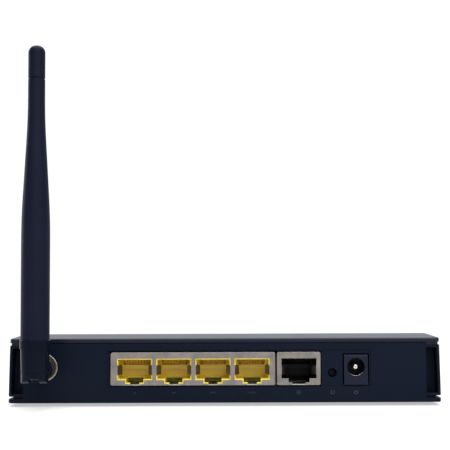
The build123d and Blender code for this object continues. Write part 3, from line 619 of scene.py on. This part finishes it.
def ptfe():
    look = Look("ptfe", Subsurface_Weight=0.2, Subsurface_Scale=0.6 * MM)
    cloud = look.noise(1.2 * MM, detail=3)
    look.set(Base_Color=look.mix(cloud, colour(222, 220, 212), colour(240, 239, 233)))
    look.set(Roughness=look.remap(cloud, 0.3, 0.7, 0.4, 0.55))
    return look


def coax_jacket():
    return moulded(
        "coax_jacket",
        colour(26, 26, 28),
        colour(40, 40, 42),
        gloss=(0.4, 0.55),
        edge=0.1 * MM,
    )


FINISHES = [
    case_plastic, lid_plastic, trim_plastic, window_plastic, clear_plastic, rubber, screw_steel,
    label_film, shield_metal, lan_plastic, wan_plastic, contact_gold, inlet_plastic, pin_metal,
    switch_plastic, key_plastic, board_laminate, chip_plastic, heatsink_metal, can_metal, ferrite,
    ceramic, lamp_resin, ptfe, jack_gold, coax_jacket, grip_plastic, antenna_plastic, hinge_plastic,
    hinge_steel, copper, painted_shade_gold,
]


def finish_nodes():
    """Gives every CAD node the finish that its record slot names, apart from the contacts deep in the
    black socket, which get a gold darkened with painted shade.
    """
    finishes = {finish.__name__: finish().material for finish in FINISHES}
    for name, node in NODES.items():
        for place in node.material_slots:
            slot = place.material.name.split(".")[0]
            # Painted shade: the black socket's contacts take the darker copy of the gold.
            if name == "wan_jack_contacts":
                slot = "painted_shade_gold"
            place.material = finishes[slot]


# ---------------------------------------------------------------------------------------------
# Printed marks: plain pictograms, a little proud of the plastic
# ---------------------------------------------------------------------------------------------


def panel_print(name, ink):
    """Thin ink that has worn through in specks."""
    look = Look(name, Specular_IOR_Level=0.15)
    worn = look.remap(look.noise(0.25 * MM, detail=4), 0.35, 0.62)
    thin_ink = [channel * 0.6 for channel in ink]
    look.set(Base_Color=look.mix(worn, colour(*thin_ink), colour(*ink)))
    look.set(Roughness=look.remap(worn, 0.0, 1.0, 0.62, 0.42))
    return look.material


def turns(start, end):
    """Angles in radians, about ARC_STEP apart, from start to end, which are in degrees."""
    count = max(4, round(abs(end - start) / ARC_STEP))
    return [math.radians(start + (end - start) * number / count) for number in range(count + 1)]


# Each shape below is a list of outlines, and each outline a list of (x, z).


def disc(x, z, radius):
    rim = turns(0, 360)[:-1]
    return [[(x + radius * math.cos(turn), z + radius * math.sin(turn)) for turn in rim]]


def bar(x, z, width, height):
    left, right = x - width / 2, x + width / 2
    bottom, top = z - height / 2, z + height / 2
    return [[(left, bottom), (right, bottom), (right, top), (left, top)]]


def arrowhead(x, z, size):
    top = z + size * 0.8
    return [[(x - size, top), (x + size, top), (x, z - size * 0.8)]]


def arc(x, z, radius, width, start=0, end=360):
    """A ring, or part of one, as a strip of four-sided pieces; angles in degrees from +X."""

    def point(reach, turn):
        return (x + reach * math.cos(turn), z + reach * math.sin(turn))

    inner, outer = radius - width / 2, radius + width / 2
    edge = turns(start, end)
    return [
        [point(inner, here), point(outer, here), point(outer, after), point(inner, after)]
        for here, after in zip(edge, edge[1:])
    ]


def pips(x, z, count):
    """A row of dots that counts."""
    places = [x + PIP_PITCH * (number - (count - 1) / 2) for number in range(count)]
    return [shape for place in places for shape in disc(place, z, PIP_RADIUS)]


def globe_mark(x, z, size):
    """Outside network: a ring round a smaller one, with its equator and axis."""
    thin = THIN_STROKE * size
    across = 1.8 * size
    outer_ring = arc(x, z, size, 0.2 * size)
    inner_ring = arc(x, z, size * 0.45, thin)
    return outer_ring + inner_ring + bar(x, z, across, thin) + bar(x, z, thin, across)


def restart_mark(x, z, size):
    """Restart: a turning arrow."""
    ring = arc(x, z, size * RING, STROKE * size, start=120, end=420)
    return ring + arrowhead(x - size * 0.5, z + size * 0.55, size * 0.4)


def power_mark(x, z, size):
    """Power: a bar in the gap of an open ring."""
    ring = arc(x, z, size * RING, STROKE * size, start=125, end=415)
    return ring + bar(x, z + size * 0.6, STROKE * size, size * 0.9)


def wave_mark(x, z, size):
    """Wireless: a dot under two arcs."""
    low = z - size * 0.6
    mark = disc(x, low, 0.22 * size)
    for reach in (0.8, 1.5):
        mark += arc(x, low, reach * size, 0.24 * size, start=45, end=135)
    return mark


def print_mark(name, shapes, face, outward, ink):
    """Raises flat shapes, given as outlines of (x, z), from a wall at y = face. outward is -1 or 1."""
    mesh = bpy.data.meshes.new(name)
    shape = bmesh.new()
    for outline in shapes:
        shape.faces.new([shape.verts.new((x, face, z)) for x, z in outline])
    bmesh.ops.remove_doubles(shape, verts=shape.verts, dist=WELD)
    raised = bmesh.ops.extrude_face_region(shape, geom=shape.faces[:])["geom"]
    corners = [item for item in raised if isinstance(item, bmesh.types.BMVert)]
    bmesh.ops.translate(shape, verts=corners, vec=(0, outward * PRINT_THICKNESS, 0))
    bmesh.ops.recalc_face_normals(shape, faces=shape.faces)
    shape.to_mesh(mesh)
    shape.free()
    piece = bpy.data.objects.new(name, mesh)
    bpy.context.scene.collection.objects.link(piece)
    mesh.materials.append(ink)
    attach(piece, "case")


def middle_x(node):
    low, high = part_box(node)
    return (low.x + high.x) / 2


def mark_rear_panel():
    """Dots that number the four sockets, and a pictogram for each of the other three openings."""
    dark = panel_print("socket_ink", SOCKET_INK)
    pale = panel_print("panel_ink", PANEL_INK)
    for number in range(1, SOCKET_COUNT + 1):
        x = FIRST_SOCKET_X + SOCKET_PITCH * (number - 1)
        print_mark(f"socket_mark_{number}", pips(x, REAR_MARK_HEIGHT, number), REAR_Y, -1, dark)
    for name, node, draw, ink in (
        ("outside_mark", "wan_jack_shield", globe_mark, dark),
        ("restart_mark", "reset_plunger", restart_mark, pale),
        ("power_mark", "power_inlet_housing", power_mark, pale),
    ):
        shapes = draw(middle_x(node), REAR_MARK_HEIGHT, REAR_MARK_SIZE)
        print_mark(name, shapes, REAR_Y, -1, ink)


def mark_front_window():
    """A mark over each of the eight lights, on the smoked window: four pictograms, then dots."""
    ink = panel_print("window_ink", WINDOW_INK)
    low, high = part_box("status_lights")
    window_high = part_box("front_window")[1]
    pitch = (high.x - low.x - LAMP_WIDTH) / (LIGHT_COUNT - 1)
    height = window_high.z - LIGHT_MARK_DROP
    draws = [power_mark, wave_mark, globe_mark, restart_mark]
    for number in range(LIGHT_COUNT):
        x = low.x + LAMP_WIDTH / 2 + pitch * number
        if number < len(draws):
            shapes = draws[number](x, height, LIGHT_MARK_SIZE)
        else:
            shapes = pips(x, height, number + 1 - len(draws))
        print_mark(f"light_mark_{number + 1}", shapes, window_high.y, 1, ink)


# ---------------------------------------------------------------------------------------------
# Studio and camera
# ---------------------------------------------------------------------------------------------


def floor_paint():
    """White paper lit from below, which thins the object's shadow and ends in the room's white."""
    paper = colour(*FLOOR_PAPER)
    look = Look("floor_paper", Base_Color=paper, Roughness=0.9, Specular_IOR_Level=0.1)
    distance = look.add("ShaderNodeVectorMath", {0: look.place}, operation="LENGTH")
    away = look.remap(distance.outputs["Value"], *FLOOR_FADE, FLOOR_GLOW, 1.0)
    glow = look.add("ShaderNodeEmission", {"Strength": ROOM_WHITE})
    lit = look.add("ShaderNodeMixShader", {0: away, 1: look.shader.outputs[0], 2: glow.outputs[0]})
    look.feed(look.tree.nodes["Material Output"].inputs["Surface"], lit.outputs[0])
    return look.material


def make_floor():
    mesh = bpy.data.meshes.new("floor")
    shape = bmesh.new()
    bmesh.ops.create_circle(shape, cap_ends=True, radius=FLOOR_RADIUS, segments=FLOOR_SIDES)
    shape.to_mesh(mesh)
    shape.free()
    floor = bpy.data.objects.new("floor", mesh)
    bpy.context.scene.collection.objects.link(floor)
    mesh.materials.append(floor_paint())


def make_room():
    """The camera sees plain white; the object is lit by a room that is bright behind it and dim on
    the camera's side."""
    world = bpy.data.worlds.new("room")
    world.use_nodes = True
    world.node_tree.nodes.clear()
    room = Nodes(world.node_tree)
    direction = room.add("ShaderNodeTexCoord").outputs["Generated"]
    split = room.add("ShaderNodeSeparateXYZ", {"Vector": direction})
    inputs = {
        "Value": split.outputs["Y"],
        "From Min": ROOM_DIM_TO,
        "From Max": ROOM_BRIGHT_FROM,
        "To Min": ROOM_FRONT,
        "To Max": ROOM_BACK,
    }
    behind = room.add("ShaderNodeMapRange", inputs, interpolation_type="SMOOTHSTEP")
    strength = behind.outputs["Result"]
    lit = room.add("ShaderNodeBackground", {"Color": ROOM_TINT, "Strength": strength})
    seen = room.add("ShaderNodeBackground", {"Color": (1, 1, 1, 1), "Strength": ROOM_WHITE})
    to_camera = room.add("ShaderNodeLightPath").outputs["Is Camera Ray"]
    chosen = room.add("ShaderNodeMixShader", {0: to_camera, 1: lit.outputs[0], 2: seen.outputs[0]})
    room.add("ShaderNodeOutputWorld", {"Surface": chosen.outputs[0]})
    bpy.context.scene.world = world


def softbox(name, place, size, watts):
    """A rectangular lamp aimed at the object, which the camera doesn't see."""
    light = bpy.data.lights.new(name, "AREA")
    light.shape = "RECTANGLE"
    light.size, light.size_y = size
    light.energy = watts
    lamp = bpy.data.objects.new(name, light)
    lamp.location = place
    direction = Vector(LIGHT_AIM) - Vector(place)
    lamp.rotation_mode = "QUATERNION"
    lamp.rotation_quaternion = direction.to_track_quat("-Z", "Y")
    lamp.visible_camera = False
    bpy.context.scene.collection.objects.link(lamp)


def light_studio():
    softbox("softbox_top", place=(0.0, 0.05, 0.95), size=(1.1, 1.1), watts=14.0)
    softbox("softbox_left", place=(-0.9, 0.45, 0.3), size=(0.5, 0.9), watts=3.5)
    softbox("softbox_front", place=(0.3, -0.9, 0.75), size=(1.6, 1.2), watts=15.0)


def make_camera():
    view = bpy.data.cameras.new("camera")
    view.lens = CAMERA_LENS
    view.sensor_width = CAMERA_SENSOR
    view.shift_x = CAMERA_SHIFT_X
    view.clip_start, view.clip_end = CAMERA_CLIP
    camera = bpy.data.objects.new("camera", view)
    camera.location = (0.0, REAR_Y - CAMERA_DISTANCE, CAMERA_HEIGHT)
    camera.rotation_euler = (math.pi / 2 + CAMERA_PITCH, CAMERA_ROLL, 0)
    bpy.context.scene.collection.objects.link(camera)
    bpy.context.scene.camera = camera


# ---------------------------------------------------------------------------------------------
# The scene
# ---------------------------------------------------------------------------------------------


bpy.context.scene.view_settings.view_transform = "Standard"
make_camera()
make_room()
light_studio()
make_floor()
finish_nodes()
mark_rear_panel()
mark_front_window()
